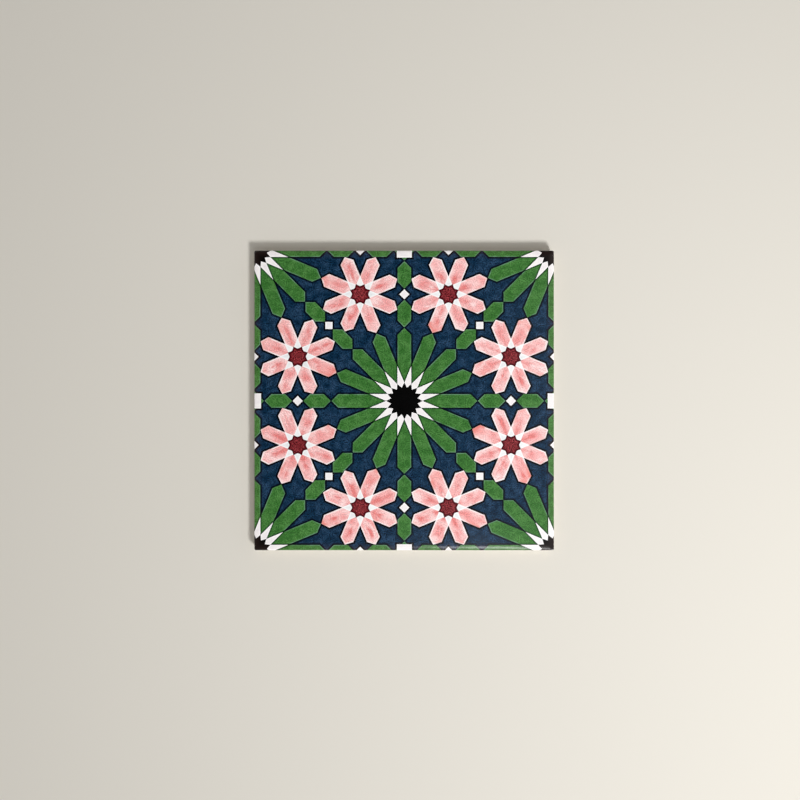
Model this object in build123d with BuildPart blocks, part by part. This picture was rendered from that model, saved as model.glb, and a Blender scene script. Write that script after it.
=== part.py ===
"""Square pressed porcelain tile with a rolled face edge, drafted sides and a ribbed back.

Millimetres. The origin is the centre of the back, on the plane of the rib tops, so the tile
lies on Z = 0 with its decorated face up. The sides run along X and Y.
"""

import math
import os

from build123d import *

# Overall size
tile_side = 200.0
tile_thickness = 9.0
corner_radius = 1.0

# Face edge: the face rolls off in a wide arc, which ends in a small round arris
roll_width = 3.0
roll_radius = 12.0
arris_radius = 0.8

# Sides: an upright land under the arris, then a draft that leans in towards the back
draft_height = 4.8
draft_inset = 0.7
back_chamfer = 0.6

# Back: square pockets pressed into it leave a grid of ribs for the adhesive to key on
pocket_side = 28.0
pocket_corner = 3.0
pocket_depth = 0.8
pocket_wall_angle = 35.0
rib_width = 2.5
border_width = 8.0

# Points of the edge's section, from the back round to the face
half_side = tile_side / 2
roll_drop = roll_radius - math.sqrt(roll_radius**2 - roll_width**2)
back_half = half_side - draft_inset - back_chamfer
back_edge = (back_half, 0)
draft_foot = (half_side - draft_inset, back_chamfer)
land_foot = (half_side, draft_height)
arris_corner = (half_side, tile_thickness - roll_drop)
face_edge = (half_side - roll_width, tile_thickness)

# The pockets come in pairs about the centre, so that two ribs always cross there
pocket_pitch = pocket_side + rib_width
pocket_pairs = math.floor((back_half - border_width + rib_width / 2) / pocket_pitch)
pocket_count = 2 * pocket_pairs

# One key pocket: its walls lean outwards towards the back, so that the press die can leave it
with BuildPart() as pocket:
    with BuildSketch():
        RectangleRounded(pocket_side, pocket_side, pocket_corner)
    extrude(amount=pocket_depth, taper=pocket_wall_angle)

with BuildPart() as tile:
    # Section across the tile, with the same edge at both ends
    with BuildSketch(Plane.XZ) as section:
        with BuildLine():
            Polyline((0, 0), back_edge, draft_foot, land_foot, arris_corner)
            TangentArc(face_edge, arris_corner, tangent=(1, 0))
            Line(face_edge, (0, tile_thickness))
            mirror(about=Plane.YZ)
        make_face()
        fillet(section.vertices().group_by(Axis.Y)[-2], arris_radius)
    extrude(amount=half_side, both=True)

    # The same section the other way: the two edges meet in mitres at the corners
    with BuildSketch(Plane.YZ):
        add(section.sketch_local)
    extrude(amount=half_side, both=True, mode=Mode.INTERSECT)

    # Upright corners, rounded in plan
    with BuildSketch():
        RectangleRounded(tile_side, tile_side, corner_radius)
    extrude(amount=tile_thickness, mode=Mode.INTERSECT)

    # The back's grid of pockets, with the ribs between them
    with GridLocations(pocket_pitch, pocket_pitch, pocket_count, pocket_count):
        add(pocket.part, mode=Mode.SUBTRACT)

tile.part.label = "tile"

os.makedirs("parts", exist_ok=True)
export_step(tile.part, "parts/tile.step")
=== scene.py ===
import math

import bmesh
import bpy
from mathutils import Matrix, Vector


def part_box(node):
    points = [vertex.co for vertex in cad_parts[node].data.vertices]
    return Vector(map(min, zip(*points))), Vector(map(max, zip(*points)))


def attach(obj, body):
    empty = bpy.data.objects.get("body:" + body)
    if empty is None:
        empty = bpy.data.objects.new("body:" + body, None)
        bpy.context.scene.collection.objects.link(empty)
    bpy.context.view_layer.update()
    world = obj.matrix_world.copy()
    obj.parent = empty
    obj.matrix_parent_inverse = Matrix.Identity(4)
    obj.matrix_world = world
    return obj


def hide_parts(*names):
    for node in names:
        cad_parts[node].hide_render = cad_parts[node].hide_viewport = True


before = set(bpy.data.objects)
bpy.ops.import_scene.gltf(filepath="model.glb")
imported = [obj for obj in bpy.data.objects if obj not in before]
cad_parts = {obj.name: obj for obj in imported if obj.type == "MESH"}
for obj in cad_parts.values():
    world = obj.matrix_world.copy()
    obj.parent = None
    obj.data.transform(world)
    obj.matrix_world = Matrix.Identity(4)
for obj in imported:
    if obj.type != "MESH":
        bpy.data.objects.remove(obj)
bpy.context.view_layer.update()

# Tile: one square of porcelain, pressed dry from powder, printed, glazed and fired once.
# The die leaves a rolled face edge, drafted sides and square key pockets in the back, and
# powder never holds a knife edge, so that every rib and arris is a little rounded.
half_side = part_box("tile")[1].x
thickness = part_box("tile")[1].z
corner_radius = 0.0010
corner_steps = 6
roll_width = 0.0030
roll_radius = 0.0120
roll_steps = 6
arris_radius = 0.0008
arris_steps = 8
draft_height = 0.0048
draft_inset = 0.0007
back_chamfer = 0.0006
face_margin = 0.0010

pockets_across = 6
pocket_side = 0.0280
pocket_corner = 0.0030
pocket_depth = 0.0008
pocket_wall_angle = math.radians(35)
rib_width = 0.0025
rib_rounding = 0.00025
rib_edge_angle = math.radians(30)
chamfer_rounding = 0.00015
chamfer_edge_angle = math.radians(28)
rounding_steps = 2
land_rounding = 0.0003

# The back: a grid of cells, each sunk inside its ribs, with the pockets' corners and rims rounded
tile_mesh = bmesh.new()
grid_half = pockets_across * (pocket_side + rib_width) / 2
bmesh.ops.create_grid(tile_mesh, x_segments=pockets_across, y_segments=pockets_across, size=grid_half)
bmesh.ops.reverse_faces(tile_mesh, faces=tile_mesh.faces)
pockets = list(tile_mesh.faces)
bmesh.ops.inset_individual(tile_mesh, faces=pockets, thickness=rib_width / 2, use_even_offset=True)
wall_run = pocket_depth * math.tan(pocket_wall_angle)
bmesh.ops.inset_individual(
    tile_mesh, faces=pockets, thickness=wall_run, depth=-pocket_depth, use_even_offset=True
)


def steep_edges(mesh, least_angle):
    """Edges where two faces meet at a sharper angle than this."""
    return [edge for edge in mesh.edges if edge.calc_face_angle(0) > least_angle]


def round_edges(mesh, edges, radius, steps):
    """Rounds edges over with a bevel."""
    bmesh.ops.bevel(
        mesh,
        geom=edges,
        offset=radius,
        offset_type="OFFSET",
        segments=steps,
        profile=0.5,
        affect="EDGES",
        clamp_overlap=False,
        material=-1,
    )


wall_corners = [edge for edge in tile_mesh.edges if edge.verts[0].co.z != edge.verts[1].co.z]
round_edges(tile_mesh, wall_corners, pocket_corner, corner_steps)
round_edges(tile_mesh, steep_edges(tile_mesh, rib_edge_angle), rib_rounding, rounding_steps)

# The edge's section, as insets from the side and heights: chamfer, draft, land, arris, roll
roll_centre = thickness - roll_radius
arris_run = roll_width - arris_radius
arris_turn = math.asin(arris_run / (roll_radius - arris_radius))
arris_centre = roll_centre + (roll_radius - arris_radius) * math.cos(arris_turn)
draft_lean = draft_inset / (draft_height - back_chamfer)
level_with_side = math.radians(90)
section = [
    (draft_inset + back_chamfer, 0.0),
    (draft_inset, back_chamfer),
    (land_rounding * draft_lean, draft_height - land_rounding),
    (0.0, draft_height + land_rounding),
]
for count in range(arris_steps + 1):
    slant = level_with_side + (arris_turn - level_with_side) * count / arris_steps
    inset = arris_radius * (1 - math.sin(slant))
    section.append((inset, arris_centre + arris_radius * math.cos(slant)))
for count in range(1, roll_steps + 1):
    slant = arris_turn * (1 - count / roll_steps)
    inset = roll_width - roll_radius * math.sin(slant)
    section.append((inset, roll_centre + roll_radius * math.cos(slant)))
section.append((roll_width + face_margin, thickness))

ring_half = grid_half
ring_height = 0.0
for inset, height in section:
    rim_edges = [edge for edge in tile_mesh.edges if edge.is_boundary]
    grown = bmesh.ops.extrude_edge_only(tile_mesh, edges=rim_edges)["geom"]
    ring = [item for item in grown if isinstance(item, bmesh.types.BMVert)]
    widen = (half_side - inset) / ring_half
    bmesh.ops.scale(tile_mesh, vec=(widen, widen, 1), verts=ring)
    bmesh.ops.translate(tile_mesh, vec=(0, 0, height - ring_height), verts=ring)
    ring_half = half_side - inset
    ring_height = height
bmesh.ops.holes_fill(tile_mesh, edges=[edge for edge in tile_mesh.edges if edge.is_boundary])
hairbreadth = 1e-6


def on_corner(edge):
    """Whether an edge runs up one of the tile's four corners."""
    on_diagonal = all(abs(abs(v.co.x) - abs(v.co.y)) < hairbreadth for v in edge.verts)
    climbs = abs(edge.verts[0].co.z - edge.verts[1].co.z) > hairbreadth
    return on_diagonal and climbs and min(abs(v.co.x) for v in edge.verts) > grid_half


round_edges(tile_mesh, [edge for edge in tile_mesh.edges if on_corner(edge)], corner_radius, corner_steps)
round_edges(tile_mesh, steep_edges(tile_mesh, chamfer_edge_angle), chamfer_rounding, rounding_steps)
bmesh.ops.recalc_face_normals(tile_mesh, faces=tile_mesh.faces)
for panel in tile_mesh.faces:
    panel.smooth = True

# A flat layout to bake the finish on: the face large, the back small, the sides as four strips
face_share = 0.78
back_share = 0.19
strip_share = 0.04
layout_gap = 0.01
least_face_lift = 0.5
least_back_drop = 0.3


def flat_place(point, normal):
    """Where a point on a face with this normal lies on the flat layout."""
    right = point.x / half_side / 2 + 0.5
    up = point.y / half_side / 2 + 0.5
    if normal.z > least_face_lift:
        return layout_gap + right * face_share, layout_gap + up * face_share
    if normal.z < -least_back_drop:
        return layout_gap * 2 + face_share + right * back_share, layout_gap + up * back_share
    on_x_side = abs(normal.x) > abs(normal.y)
    outward = normal.x if on_x_side else normal.y
    row = 2 * on_x_side + (outward > 0)
    strip_foot = layout_gap * 2 + face_share + row * (strip_share + layout_gap)
    along_side = up if on_x_side else right
    return layout_gap + along_side * face_share, strip_foot + point.z / thickness * strip_share


layout = tile_mesh.loops.layers.uv.new("OFBake")
for panel in tile_mesh.faces:
    for corner in panel.loops:
        corner[layout].uv = flat_place(corner.vert.co, panel.normal)

tile_data = bpy.data.meshes.new("patterned_tile")
tile_mesh.to_mesh(tile_data)
tile_mesh.free()
tile = bpy.data.objects.new("patterned_tile", tile_data)
bpy.context.scene.collection.objects.link(tile)
tile.modifiers.new("Even shading", "WEIGHTED_NORMAL")
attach(tile, "root")
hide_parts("tile")

# The print's sizes, in millimetres. It is drawn with strips of one width: sixteen petals round each
# large star, eight round each small one, and links and squares on the lines between the stars.
print_centre = (0.15, -0.33)
half_repeat = 100.58
petal_half = 4.69
green_reach = 48.84
green_tip_slope = 1.0
black_tip = 11.97
black_valley = 8.85
pink_reach = 26.89
pink_long_reach = 28.06
pink_tip_slope = 0.82
red_tip = 6.95
red_valley = 5.2
red_bay_rounding = 0.6
small_square = 3.48
edge_square = 5.09


def linear(red, green, blue):
    """A colour as a screen shows it, 0 to 255, as the values that shaders use."""
    shares = [channel / 255 for channel in (red, green, blue)]
    return [s / 12.92 if s <= 0.04045 else ((s + 0.055) / 1.055) ** 2.4 for s in shares] + [1.0]


class Wire:
    """A number in a shader tree. Arithmetic on wires adds Math nodes, so that formulas read as such."""

    def __init__(self, socket):
        self.socket = socket
        self.tree = socket.id_data

    def math(self, operation, *others, flip=False):
        """A Math node on this number and others, or with this number last."""
        node = self.tree.nodes.new("ShaderNodeMath")
        node.operation = operation
        values = (*others, self) if flip else (self, *others)
        for slot, value in zip(node.inputs, values):
            connect(slot, value)
        return Wire(node.outputs[0])

    def __add__(self, other):
        return self.math("ADD", other)

    def __sub__(self, other):
        return self.math("SUBTRACT", other)

    def __rsub__(self, other):
        return self.math("SUBTRACT", other, flip=True)

    def __mul__(self, other):
        return self.math("MULTIPLY", other)

    def __truediv__(self, other):
        return self.math("DIVIDE", other)

    def __rtruediv__(self, other):
        return self.math("DIVIDE", other, flip=True)

    def __abs__(self):
        return self.math("ABSOLUTE")

    def ramp(self, start, end):
        """0 before start, 1 after end and a straight run between them."""
        node = self.tree.nodes.new("ShaderNodeMapRange")
        for slot, value in zip(node.inputs, (self, start, end)):
            connect(slot, value)
        return Wire(node.outputs[0])


def connect(slot, value):
    """Feeds a shader socket with a wire, another socket or a plain value."""
    if isinstance(value, Wire):
        slot.id_data.links.new(value.socket, slot)
    elif isinstance(value, bpy.types.NodeSocket):
        slot.id_data.links.new(value, slot)
    else:
        slot.default_value = value


def largest(first, *others):
    """The largest of several numbers."""
    for other in others:
        first = first.math("MAXIMUM", other)
    return first


def smallest(first, *others):
    """The smallest of several numbers."""
    for other in others:
        first = first.math("MINIMUM", other)
    return first


def blend(share, first, second):
    """A colour that goes from the first to the second as the share goes from 0 to 1."""
    node = share.tree.nodes.new("ShaderNodeMix")
    node.data_type = "RGBA"
    colours = [slot for slot in node.inputs if slot.type == "RGBA"]
    connect(node.inputs["Factor"], share)
    connect(colours[0], first)
    connect(colours[1], second)
    return [slot for slot in node.outputs if slot.type == "RGBA"][0]


def start_group(name, inputs, outputs):
    """A new shader group with named sockets, as its tree, its input wires and its output sockets."""
    group = bpy.data.node_groups.new(name, "ShaderNodeTree")
    for socket, kind in inputs.items():
        group.interface.new_socket(socket, in_out="INPUT", socket_type=kind)
    for socket, kind in outputs.items():
        group.interface.new_socket(socket, in_out="OUTPUT", socket_type=kind)
    source = group.nodes.new("NodeGroupInput")
    target = group.nodes.new("NodeGroupOutput")
    return group, {socket: Wire(source.outputs[socket]) for socket in inputs}, target.inputs


def place_group(tree, group, values):
    """Puts a group into a shader tree with its own values, and gives its outputs by name."""
    node = tree.nodes.new("ShaderNodeGroup")
    node.node_tree = group
    for socket, value in values.items():
        connect(node.inputs[socket], value)
    return {socket.name: Wire(socket) for socket in node.outputs}


# One rosette, as distances in millimetres, negative inside. All its petals share one width, and
# where two neighbours' sides cross, the heart begins: a star with a kite between each two of its tips.
NUMBER = "NodeSocketFloat"
rosette, rosette_in, rosette_out = start_group(
    "Rosette",
    dict.fromkeys(["X", "Y", "Petals", "First petal", "Petal half", "Reach", "Tip slope"], NUMBER),
    dict.fromkeys(["Outline", "Heart", "Along", "Across", "Kite along", "Kite across"], NUMBER),
)
petal_step = 2 * math.pi / rosette_in["Petals"]
angle = rosette_in["Y"].math("ARCTAN2", rosette_in["X"]) - rosette_in["First petal"]
off_petal = abs(angle - (angle / petal_step).math("ROUND") * petal_step)
off_kite = petal_step / 2 - off_petal
out_from_middle = (rosette_in["X"] * rosette_in["X"] + rosette_in["Y"] * rosette_in["Y"]).math("SQRT")
along = out_from_middle * off_petal.math("COSINE")
across = out_from_middle * off_petal.math("SINE")
next_side = along * petal_step.math("SINE") - across * petal_step.math("COSINE")
slope = rosette_in["Tip slope"]
tip = (along + across * slope - rosette_in["Reach"]) / (slope * slope + 1).math("SQRT")
connect(rosette_out["Outline"], largest(across - rosette_in["Petal half"], tip))
connect(rosette_out["Heart"], next_side - rosette_in["Petal half"])
connect(rosette_out["Along"], along)
connect(rosette_out["Across"], across)
connect(rosette_out["Kite along"], out_from_middle * off_kite.math("COSINE"))
connect(rosette_out["Kite across"], out_from_middle * off_kite.math("SINE"))

# Paint laid on as a wash: thin in places and pooled in others, with a rim along its outline
COLOUR = "NodeSocketColor"
wash_shades = ["Paint", "Thin", "Pooled", "Rim"]
wash_numbers = ["Inside", "Pool depth", "Rim width", "Rim strength", "Wash", "Bloom", "Grain"]
watercolour, wash_in, wash_out = start_group(
    "Watercolour",
    dict.fromkeys(wash_shades, COLOUR) | dict.fromkeys(wash_numbers, NUMBER),
    {"Colour": COLOUR},
)
pool_margin = 0.5
washed = blend(wash_in["Wash"].ramp(0.38, 0.62), wash_in["Thin"], wash_in["Paint"])
pooling = wash_in["Bloom"].ramp(0.42, 0.68) * wash_in["Inside"].ramp(pool_margin, wash_in["Pool depth"])
pooled = blend(pooling, washed, wash_in["Pooled"])
grained = watercolour.nodes.new("ShaderNodeVectorMath")
grained.operation = "SCALE"
connect(grained.inputs[0], pooled)
connect(grained.inputs["Scale"], wash_in["Grain"])
rim_start = wash_in["Rim width"] * 0.5
rimming = (1 - wash_in["Inside"].ramp(rim_start, wash_in["Rim width"])) * wash_in["Rim strength"]
connect(wash_out["Colour"], blend(rimming, grained.outputs[0], wash_in["Rim"]))

# The glaze with its print over the face and the arris, and the bare body below it
porcelain = bpy.data.materials.new("Printed porcelain")
porcelain.use_nodes = True
tree = porcelain.node_tree
shader = tree.nodes["Principled BSDF"]
millimetres_in_metre = 1000.0
coordinates = tree.nodes.new("ShaderNodeTexCoord")
scaled = tree.nodes.new("ShaderNodeVectorMath")
scaled.operation = "SCALE"
connect(scaled.inputs[0], coordinates.outputs["Object"])
connect(scaled.inputs["Scale"], millimetres_in_metre)
place = scaled.outputs[0]
split = tree.nodes.new("ShaderNodeSeparateXYZ")
connect(split.inputs[0], place)
x, y, z = (Wire(socket) for socket in split.outputs)


def mottle(size, detail, roughness=0.5, stretch=(1, 1, 1)):
    """Cloudy variation about 0.5, with clouds of about this size in millimetres."""
    mapping = tree.nodes.new("ShaderNodeMapping")
    connect(mapping.inputs["Vector"], place)
    mapping.inputs["Scale"].default_value = stretch
    noise = tree.nodes.new("ShaderNodeTexNoise")
    connect(noise.inputs["Vector"], mapping.outputs[0])
    noise.inputs["Scale"].default_value = 1 / size
    noise.inputs["Detail"].default_value = detail
    noise.inputs["Roughness"].default_value = roughness
    return Wire(noise.outputs[0])


wash = mottle(9.0, 3)
bloom = mottle(4.5, 4, 0.6)
fleck = mottle(0.75, 1)
stain = mottle(8.0, 2)

# Every part of the print mirrors one wedge of it, from the axis to the ray at 22.5 degrees
eighth = math.radians(22.5)
off_x = abs(x - print_centre[0])
off_y = abs(y - print_centre[1])
far = largest(off_x, off_y)
near = smallest(off_x, off_y)
over = largest(far + near - half_repeat, 0)
far = far - over
near = near - over
past = largest(near * math.cos(eighth) - far * math.sin(eighth), 0) * 2
far = far + past * math.sin(eighth)
near = near - past * math.cos(eighth)

# The large rosette: green petals and white kites round a black star with straight-sided points
green_petals = 16
large = place_group(
    tree,
    rosette,
    {
        "X": far,
        "Y": near,
        "Petals": green_petals,
        "First petal": 0.0,
        "Petal half": petal_half,
        "Reach": green_reach,
        "Tip slope": green_tip_slope,
    },
)
black_run = black_tip * math.cos(math.pi / green_petals) - black_valley
black_rise = black_tip * math.sin(math.pi / green_petals)
black_side = math.hypot(black_run, black_rise)
black_star = (large["Kite along"] - black_valley) * (black_rise / black_side)
black_star = black_star - large["Kite across"] * (black_run / black_side)
green_petal = largest(large["Outline"], 0 - large["Heart"])
large_kite = largest(large["Heart"], 0 - black_star)

# The small rosette: pink petals, longer towards a large star, and white kites with round ends,
# which leave bays in the red star between them
pink_petals = 8
knot = half_repeat / math.sqrt(2)
flower_x = far - knot
flower_y = near - knot * math.tan(eighth)
flower_radius = (flower_x * flower_x + flower_y * flower_y).math("SQRT")
toward_large = flower_x * -math.cos(eighth) - flower_y * math.sin(eighth)
is_long = toward_large.math("GREATER_THAN", flower_radius * math.cos(eighth))
small = place_group(
    tree,
    rosette,
    {
        "X": flower_x,
        "Y": flower_y,
        "Petals": pink_petals,
        "First petal": eighth,
        "Petal half": petal_half,
        "Reach": is_long * (pink_long_reach - pink_reach) + pink_reach,
        "Tip slope": pink_tip_slope,
    },
)
red_run = red_tip * math.cos(math.pi / pink_petals) - red_valley
red_rise = math.hypot(red_tip * math.sin(math.pi / pink_petals), red_bay_rounding) - red_bay_rounding
red_side = math.hypot(red_run, red_rise)
bay_across = small["Kite across"] * small["Kite across"] + red_bay_rounding**2
bay_across = bay_across.math("SQRT") - red_bay_rounding
red_star = (small["Kite along"] - red_valley) * (red_rise / red_side)
red_star = red_star - bay_across * (red_run / red_side)
small_kite = largest(small["Heart"], 0 - red_star)

# Links between the large rosettes, tip to tip, with a white square between each two
from_knot = abs(far - knot)
link_reach = knot - green_reach
diagonal = math.sqrt(0.5)
link = largest(
    near - petal_half,
    (from_knot + near - link_reach) * diagonal,
    (near - from_knot + small_square) * diagonal,
)
link_end = (near - far + (knot + link_reach)) * diagonal
knot_square = (from_knot + near - small_square) * diagonal
side_square = largest(half_repeat - edge_square - far, near - edge_square)
green = smallest(green_petal, link, link_end)
white = smallest(large_kite, knot_square, side_square)
printed = smallest(green, white, black_star, small["Outline"])


def paint(inside, shades, grain, pool_depth, rim_width, rim_strength, thinning=wash, pools=bloom):
    """One colour of the print, laid on as a wash: its paint, its thin and pooled shades and its rim."""
    full_shade, thin_shade, pooled_shade, rim_shade = shades
    return place_group(
        tree,
        watercolour,
        {
            "Paint": linear(*full_shade),
            "Thin": linear(*thin_shade),
            "Pooled": linear(*pooled_shade),
            "Rim": linear(*rim_shade),
            "Inside": inside,
            "Pool depth": pool_depth,
            "Rim width": rim_width,
            "Rim strength": rim_strength,
            "Wash": thinning,
            "Bloom": pools,
            "Grain": (fleck - 0.5) * grain + 1,
        },
    )["Colour"]


# Navy ground, darkest in a thin line beside the pale shapes
navy_shades = (16, 47, 72), (37, 63, 90), (4, 32, 55), (0, 10, 26)
navy_line_shade = (0, 2, 9)
navy_line_whole_to = 0.6
navy_line_gone_from = 1.45
navy_rim = bloom.ramp(0.25, 0.55) * 0.25 + 0.75
navy_paint = paint(printed, navy_shades, grain=4.0, pool_depth=1.8, rim_width=1.45, rim_strength=navy_rim)
by_pale = 1 - smallest(small["Outline"], white).ramp(navy_line_whole_to, navy_line_gone_from)
navy_paint = blend(by_pale, navy_paint, linear(*navy_line_shade))

# Green petals and links, with a pale rim in places and a dark line beside the white kites
green_shades = (60, 113, 51), (76, 128, 64), (51, 103, 43), (126, 168, 142)
green_line_shade = (10, 68, 8)
green_line_strength = 0.95
green_line_whole_to = 0.4
green_line_gone_from = 1.2
green_rim = stain.ramp(0.4, 0.6) * 0.55
green_paint = paint(
    0 - green, green_shades, grain=2.3, pool_depth=1.6, rim_width=0.9, rim_strength=green_rim
)
by_kite = 1 - large["Heart"].ramp(green_line_whole_to, green_line_gone_from)
green_paint = blend(by_kite * green_line_strength, green_paint, linear(*green_line_shade))

# Pink petals, brushed from the heart outwards: each stroke wanders a little across its petal and
# thins out towards the tip, and no two petals share one
stroke_length = 14.0
stroke_width = 3.6
stroke_wander = 8.0
stroke_drift = (0.8, 1.2)
stroke_strength = 0.09
stroke_loss = 0.15
stroke_loss_from = 14.5
stroke_loss_to = 23.0
petal_wash = mottle(7.5, 1)
stroke_place = tree.nodes.new("ShaderNodeCombineXYZ")
connect(stroke_place.inputs["X"], small["Along"] / stroke_length)
connect(stroke_place.inputs["Y"], (small["Across"] + (petal_wash - 0.5) * stroke_wander) / stroke_width)
connect(stroke_place.inputs["Z"], (x * stroke_drift[0] + y * stroke_drift[1]) / stroke_length)
stroke_noise = tree.nodes.new("ShaderNodeTexNoise")
connect(stroke_noise.inputs["Vector"], stroke_place.outputs[0])
stroke_noise.inputs["Scale"].default_value = 1.0
stroke_noise.inputs["Detail"].default_value = 1.5
toward_tip = small["Along"].ramp(stroke_loss_from, stroke_loss_to)
stroke = Wire(stroke_noise.outputs[0]) - toward_tip * stroke_loss + stroke_strength
pink_shades = (248, 184, 183), (255, 217, 216), (229, 130, 128), (255, 248, 248)
petal_inside = 0 - small["Outline"]
pink_paint = paint(
    petal_inside,
    pink_shades,
    grain=1.25,
    pool_depth=4.0,
    rim_width=1.1,
    rim_strength=bloom.ramp(0.3, 0.55) * 0.7 + 0.25,
    thinning=petal_wash,
    pools=stroke,
)

# Some petals pale towards their heart. The long ones are stained at their tips, and a stain shows
# here and there along a rim.
paled_shade = (255, 222, 220)
paled_strength = 0.25
paled_gone_from = 5.0
stain_shade = (234, 118, 106)
tip_stain_from = 15.0
tip_stain_full_from = 24.0
paled = petal_wash.ramp(0.6, 0.4) * (1 - small["Heart"].ramp(0.0, paled_gone_from))
pink_paint = blend(paled * paled_strength, pink_paint, linear(*paled_shade))
long_tip = is_long * small["Along"].ramp(tip_stain_from, tip_stain_full_from)
tip_stain = long_tip * (stain.ramp(0.35, 0.6) * 0.36 + 0.08)
pink_paint = blend(tip_stain, pink_paint, linear(*stain_shade))
along_rim = petal_inside.ramp(0.0, 0.4) * (1 - petal_inside.ramp(0.5, 2.4))
rim_stain = stain.ramp(0.51, 0.63) * along_rim * (long_tip * 0.35 + 0.5)
pink_paint = blend(rim_stain, pink_paint, linear(*stain_shade))

# Red stars, white kites and squares, and black stars
red_shades = (124, 42, 47), (133, 51, 56), (111, 33, 39), (78, 9, 20)
white_shades = (246, 241, 241), (251, 247, 246), (237, 231, 235), (255, 254, 254)
kite_shades = (240, 241, 243), (248, 249, 249), (229, 233, 235), (254, 255, 255)
black_shades = (2, 2, 2), (5, 4, 4), (1, 1, 1), (0, 0, 0)
red_paint = paint(0 - red_star, red_shades, grain=5.4, pool_depth=2.0, rim_width=1.2, rim_strength=1.0)
white_paint = paint(0 - white, white_shades, grain=0.1, pool_depth=1.5, rim_width=0.8, rim_strength=0.9)
kite_paint = paint(
    0 - small_kite, kite_shades, grain=0.1, pool_depth=1.5, rim_width=0.8, rim_strength=0.7
)
black_paint = paint(
    0 - black_star, black_shades, grain=1.5, pool_depth=2.0, rim_width=1.0, rim_strength=0.9
)


def over_print(outline, colour, ground, spread, softness=0.05):
    """Lays a colour over the ground inside an outline, past which the ink spreads this far."""
    return blend(outline.ramp(spread + softness, spread - softness), ground, colour)


flower = over_print(small["Heart"], kite_paint, pink_paint, spread=0.1, softness=0.15)
flower = over_print(red_star, red_paint, flower, spread=0.26)
face_colour = over_print(green, green_paint, navy_paint, spread=-0.2)
face_colour = over_print(white, white_paint, face_colour, spread=-0.1)
face_colour = over_print(black_star, black_paint, face_colour, spread=0.12)
face_colour = over_print(small["Outline"], flower, face_colour, spread=-0.12)

# Towards each side, over the rolled edge, the face is tinted a little warm: a painted reflection, a faint
# veil of light along the edge
painted_edge_reflection_shade = (205, 152, 142)
painted_edge_reflection_strength = 0.02
painted_reflection_from = 6.0
painted_reflection_full_from = 1.5
half_side_mm = half_side * millimetres_in_metre
painted_reflection_band = largest(abs(x), abs(y)).ramp(half_side_mm - painted_reflection_from, half_side_mm - painted_reflection_full_from)
# The painted reflection: a faint warm tint blended in towards the sides
face_colour = blend(painted_reflection_band * painted_edge_reflection_strength, face_colour, linear(*painted_edge_reflection_shade))

# Under the arris the glaze runs out in an uneven lip. Below it the fired body is bare: a little
# speckled, scored upright by the die, and dusted with kiln wash where the ribs lay on the rollers.
lip_height = 6.6
lip_sag = 1.6
lip_run = 1.5
lip_edge = 0.25
lip_slope = 1.2
ink_height = 7.8
ink_play = 0.3
ink_edge = 0.1
sag = mottle(9.0, 3, 0.55, (1, 1, 0.1))
runs = mottle(2.4, 2, 0.5, (1, 1, 0.03)).ramp(0.56, 0.74)
lip = sag * lip_sag - runs * lip_run + lip_height
glazed = z.ramp(lip, lip + lip_edge)
full_glaze = z.ramp(lip, lip + lip_slope)
ink_line = sag * ink_play + fleck * ink_play + ink_height
inked = z.ramp(ink_line, ink_line + ink_edge)

body_shade = (207, 199, 186)
pale_body_shade = (215, 208, 196)
score_shade = (188, 178, 162)
score_strength = 0.35
speck_shade = (118, 98, 76)
speck_strength = 0.6
kiln_wash_shade = (236, 233, 227)
rib_dust = 0.45
pocket_dust = 0.15
dust_height = 0.9
dust_edge = 0.1
bare_glaze_shade = (240, 237, 230)
thin_glaze = 0.55
body_cloud = mottle(25.0, 3)
body_grain = mottle(0.35, 3, 0.6)
scoring = mottle(0.8, 3, 0.6, (1, 1, 0.05))
specks = mottle(0.55, 1).ramp(0.68, 0.74)
rollers = mottle(7.0, 5, 0.7, (0.35, 1, 1)).ramp(0.36, 0.66)
rib_tops = 1 - z.ramp(0.03, 0.12)
dusted = 1 - z.ramp(dust_height, dust_height + dust_edge)
kiln_wash = (rib_tops * rib_dust + pocket_dust) * rollers * dusted
body = blend(body_cloud.ramp(0.35, 0.65), linear(*body_shade), linear(*pale_body_shade))
body = blend(scoring.ramp(0.48, 0.75) * score_strength, body, linear(*score_shade))
body = blend(specks * speck_strength, body, linear(*speck_shade))
body = blend(kiln_wash, body, linear(*kiln_wash_shade))
glaze_cover = glazed * (full_glaze * (1 - thin_glaze) + thin_glaze)
surface = blend(glaze_cover, body, linear(*bare_glaze_shade))
surface = blend(inked, surface, face_colour)
connect(shader.inputs["Base Color"], surface)

body_roughness = 0.8
glaze_roughness = 0.17
roughness_play = 0.08
gloss = glazed * (glaze_roughness - body_roughness) + body_roughness
connect(shader.inputs["Roughness"], gloss + (wash - 0.5) * roughness_play)

# The relief, in millimetres: the glaze's own thickness and faint peel, the body's grain and scoring
glaze_depth = 0.07
peel_depth = 0.008
grain_depth = 0.06
score_depth = 0.04
peel = mottle(0.9, 2) * peel_depth
bare = body_grain * grain_depth + scoring * score_depth
relief = (peel + glaze_depth) * glazed + bare * (1 - glazed)
bump = tree.nodes.new("ShaderNodeBump")
bump.inputs["Distance"].default_value = 1 / millimetres_in_metre
connect(bump.inputs["Height"], relief)
connect(shader.inputs["Normal"], bump.outputs[0])
tile_data.materials.append(porcelain)

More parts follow.
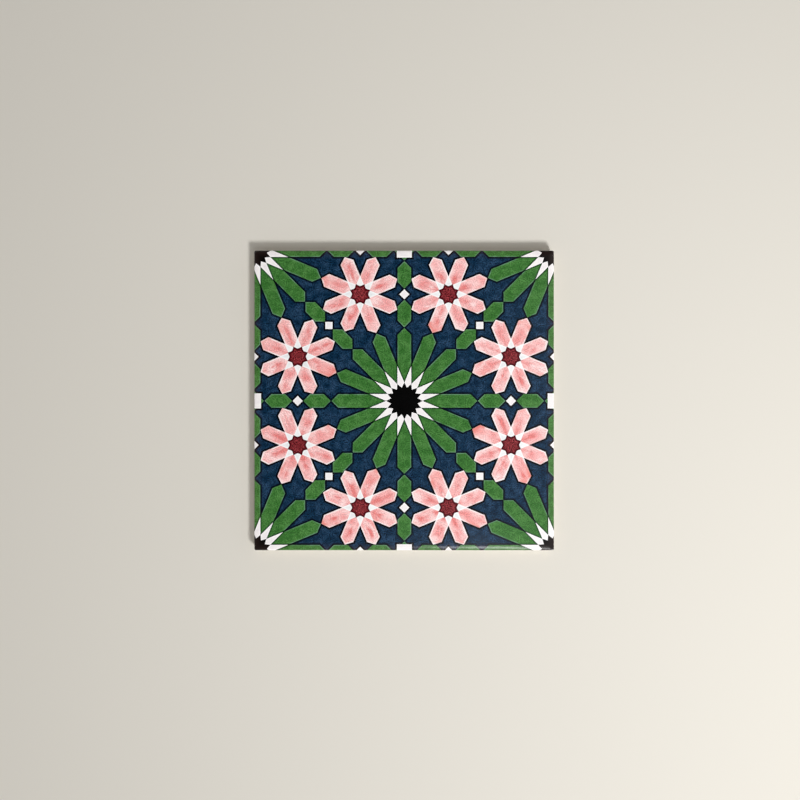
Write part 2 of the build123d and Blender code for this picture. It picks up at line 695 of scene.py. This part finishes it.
# Studio: a plain pale floor that fades into a backdrop of its own colour. A softbox lights the tile
# from the lower right, a narrow lamp catches the near edge, and a broad dim panel on the right lays a
# faint veil on the glaze. The room is dark overhead, so that the glaze mirrors little of it upwards.
backdrop_shade = (214, 210, 201)
floor_shade = (218, 214, 205)
sky_shade = (255, 253, 250)
floor_radius = 3.0
floor_whole_to = 0.4
floor_gone_from = 0.95
floor_mesh = bmesh.new()
bmesh.ops.create_circle(floor_mesh, cap_ends=True, segments=64, radius=floor_radius)
floor_data = bpy.data.meshes.new("floor")
floor_mesh.to_mesh(floor_data)
floor_mesh.free()
floor = bpy.data.objects.new("floor", floor_data)
bpy.context.scene.collection.objects.link(floor)
floor_finish = bpy.data.materials.new("Pale floor")
floor_finish.use_nodes = True
floor_tree = floor_finish.node_tree
floor_shader = floor_tree.nodes["Principled BSDF"]
floor_shader.inputs["Base Color"].default_value = linear(*floor_shade)
floor_shader.inputs["Roughness"].default_value = 0.9
floor_shader.inputs["Specular IOR Level"].default_value = 0.2
floor_coordinates = floor_tree.nodes.new("ShaderNodeTexCoord")
floor_reach = floor_tree.nodes.new("ShaderNodeVectorMath")
floor_reach.operation = "LENGTH"
connect(floor_reach.inputs[0], floor_coordinates.outputs["Object"])
floor_fade = Wire(floor_reach.outputs["Value"]).ramp(floor_gone_from, floor_whole_to)
connect(floor_shader.inputs["Alpha"], floor_fade)
floor_data.materials.append(floor_finish)


def hang_lamp(name, hung_at, aim, width, height, spread, power):
    """A softbox with an oval front, hung at one point and aimed at another."""
    data = bpy.data.lights.new(name, "AREA")
    data.shape = "ELLIPSE"
    data.size = width
    data.size_y = height
    data.spread = math.radians(spread)
    data.energy = power
    lamp = bpy.data.objects.new(name, data)
    lamp.location = hung_at
    lamp.rotation_euler = (Vector(aim) - Vector(hung_at)).to_track_quat("-Z", "Y").to_euler()
    bpy.context.scene.collection.objects.link(lamp)


middle = (0.0, 0.0, 0.0)
right_of_tile = (0.33, 0.0, 0.0)
hang_lamp("key", (0.85, -1.3, 1.6), right_of_tile, width=0.47, height=0.47, spread=68, power=6.2)
hang_lamp("edge", (0.21, -0.66, 1.6), middle, width=0.2, height=0.6, spread=180, power=3.3)
hang_lamp("veil", (0.62, 0.0, 1.6), middle, width=1.0, height=0.8, spread=180, power=0.8)

sky = bpy.data.worlds.new("sky")
sky.use_nodes = True
sky_tree = sky.node_tree
sky_coordinates = sky_tree.nodes.new("ShaderNodeTexCoord")
sky_split = sky_tree.nodes.new("ShaderNodeSeparateXYZ")
connect(sky_split.inputs[0], sky_coordinates.outputs["Generated"])
sky_light = Wire(sky_split.outputs["Z"]).ramp(1, 0)
seen = Wire(sky_tree.nodes.new("ShaderNodeLightPath").outputs["Is Camera Ray"])
background = sky_tree.nodes["Background"]
connect(background.inputs["Color"], blend(seen, linear(*sky_shade), linear(*backdrop_shade)))
connect(background.inputs["Strength"], largest(sky_light, seen))
bpy.context.scene.world = sky

# Camera: straight above, a little to the left of the tile's middle, with the picture 533.4 mm wide
picture_width = 0.5334
picture_centre = (-0.00275, 0.00027)
camera_height = 0.75
camera_data = bpy.data.cameras.new("camera")
camera_data.sensor_fit = "HORIZONTAL"
camera_data.angle = 2 * math.atan(picture_width / 2 / camera_height)
camera = bpy.data.objects.new("camera", camera_data)
camera.location = (*picture_centre, thickness + camera_height)
bpy.context.scene.collection.objects.link(camera)
bpy.context.scene.camera = camera
bpy.context.scene.view_settings.view_transform = "Standard"
